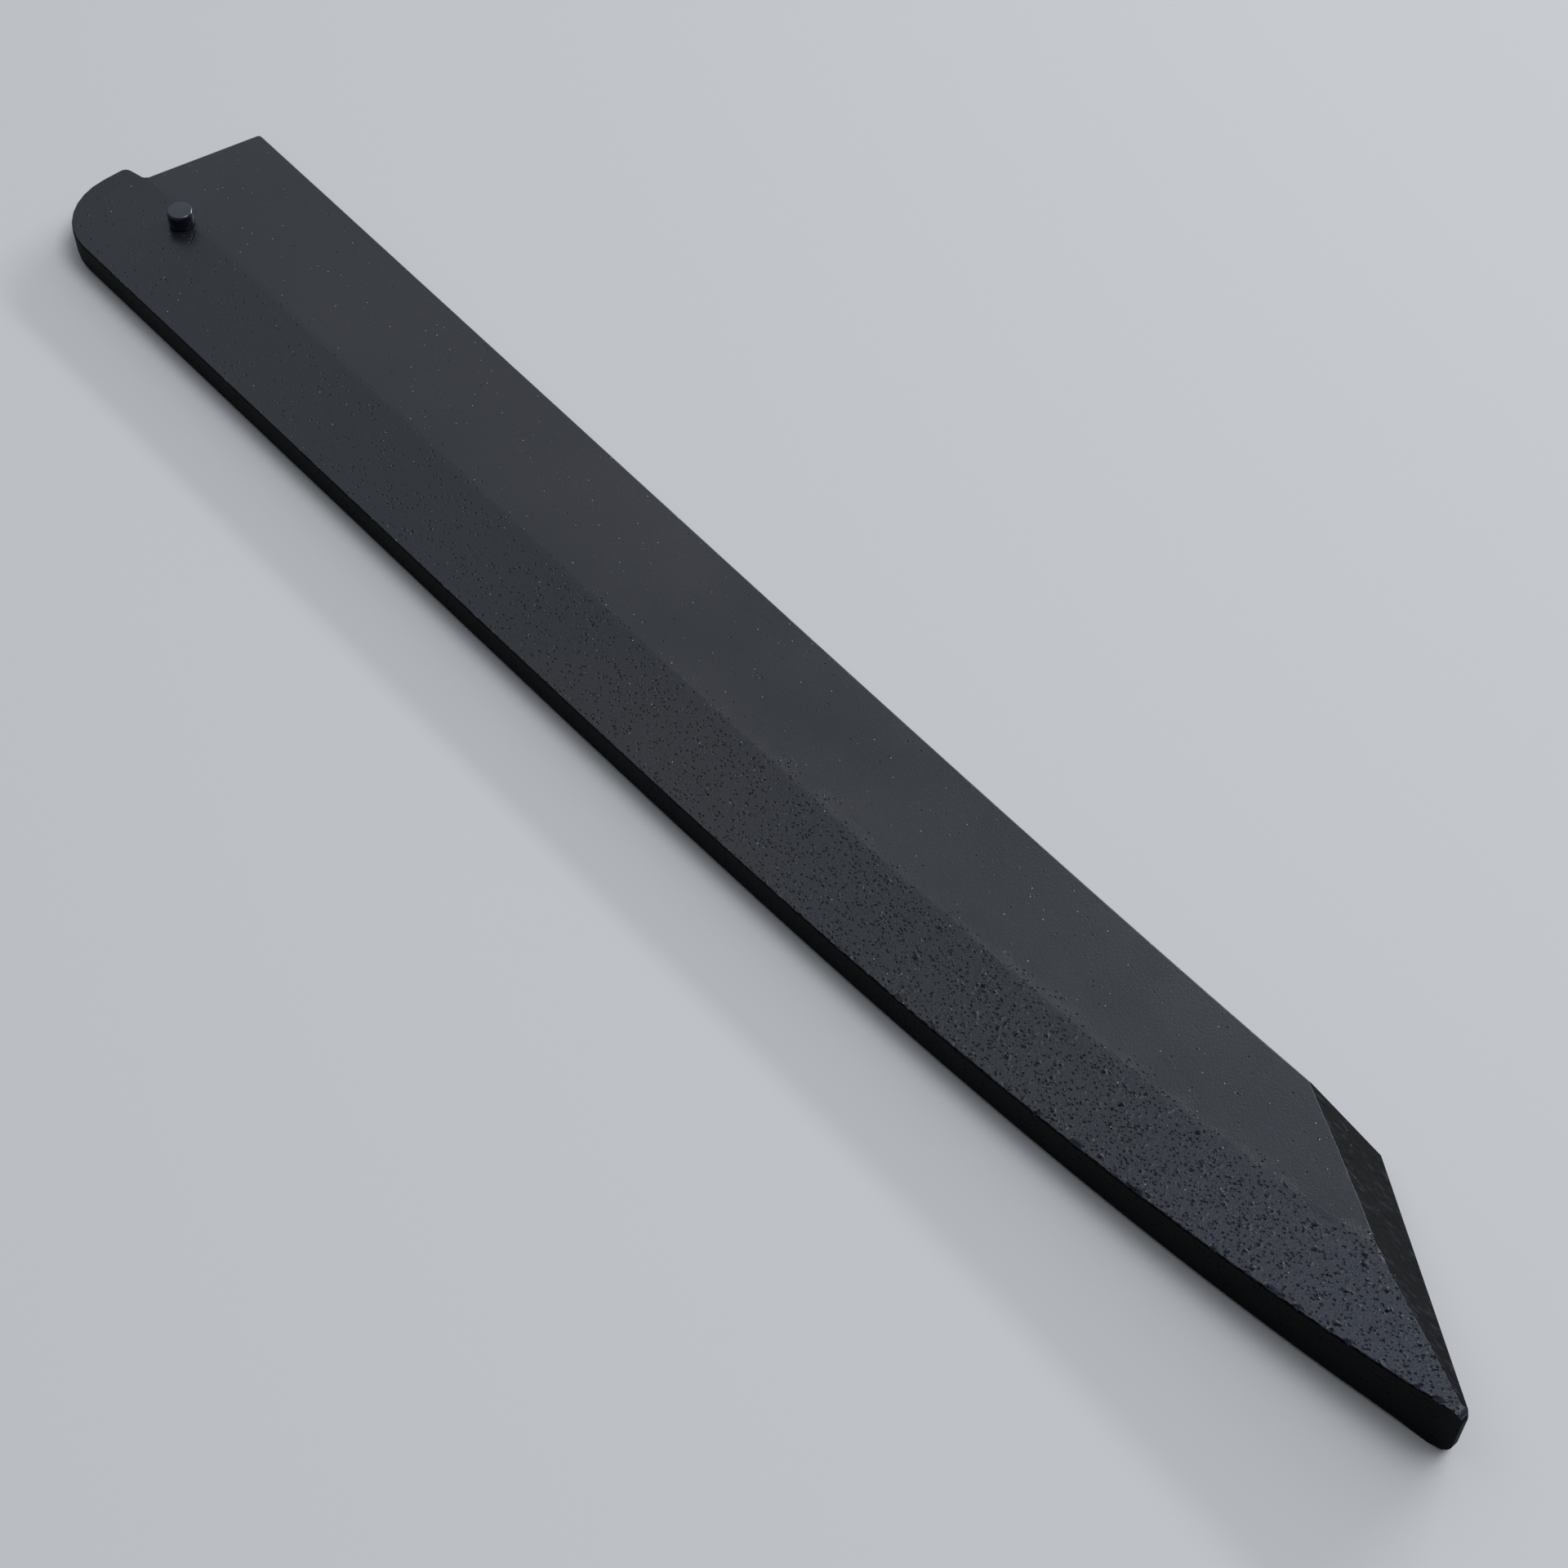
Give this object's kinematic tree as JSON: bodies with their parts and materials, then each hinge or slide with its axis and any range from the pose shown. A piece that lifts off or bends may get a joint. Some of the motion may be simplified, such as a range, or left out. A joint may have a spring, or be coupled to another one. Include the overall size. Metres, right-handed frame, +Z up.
{
  "type": "bone folder",
  "caption": "Long flat paper-folding bar with a straight spine, a shallow facet falling to the edge, a slanting bevelled point, and a small round peg near the butt.",
  "frame": {"origin": "on the surface that the bar lies on, under the middle of its overall length and width", "axes": "+X along the bar from the butt to the point, +Y across it from the spine to the edge, +Z up out of the faceted face"},
  "size_m": [0.171, 0.0228, 0.0063],
  "materials": {
    "body_black": "satin black, pitted along the spine",
    "peg_black": "polished blue-black"
  },
  "bodies": {
    "root": {"folder_body": "body_black", "peg": "peg_black"}
  },
  "joints": []
}
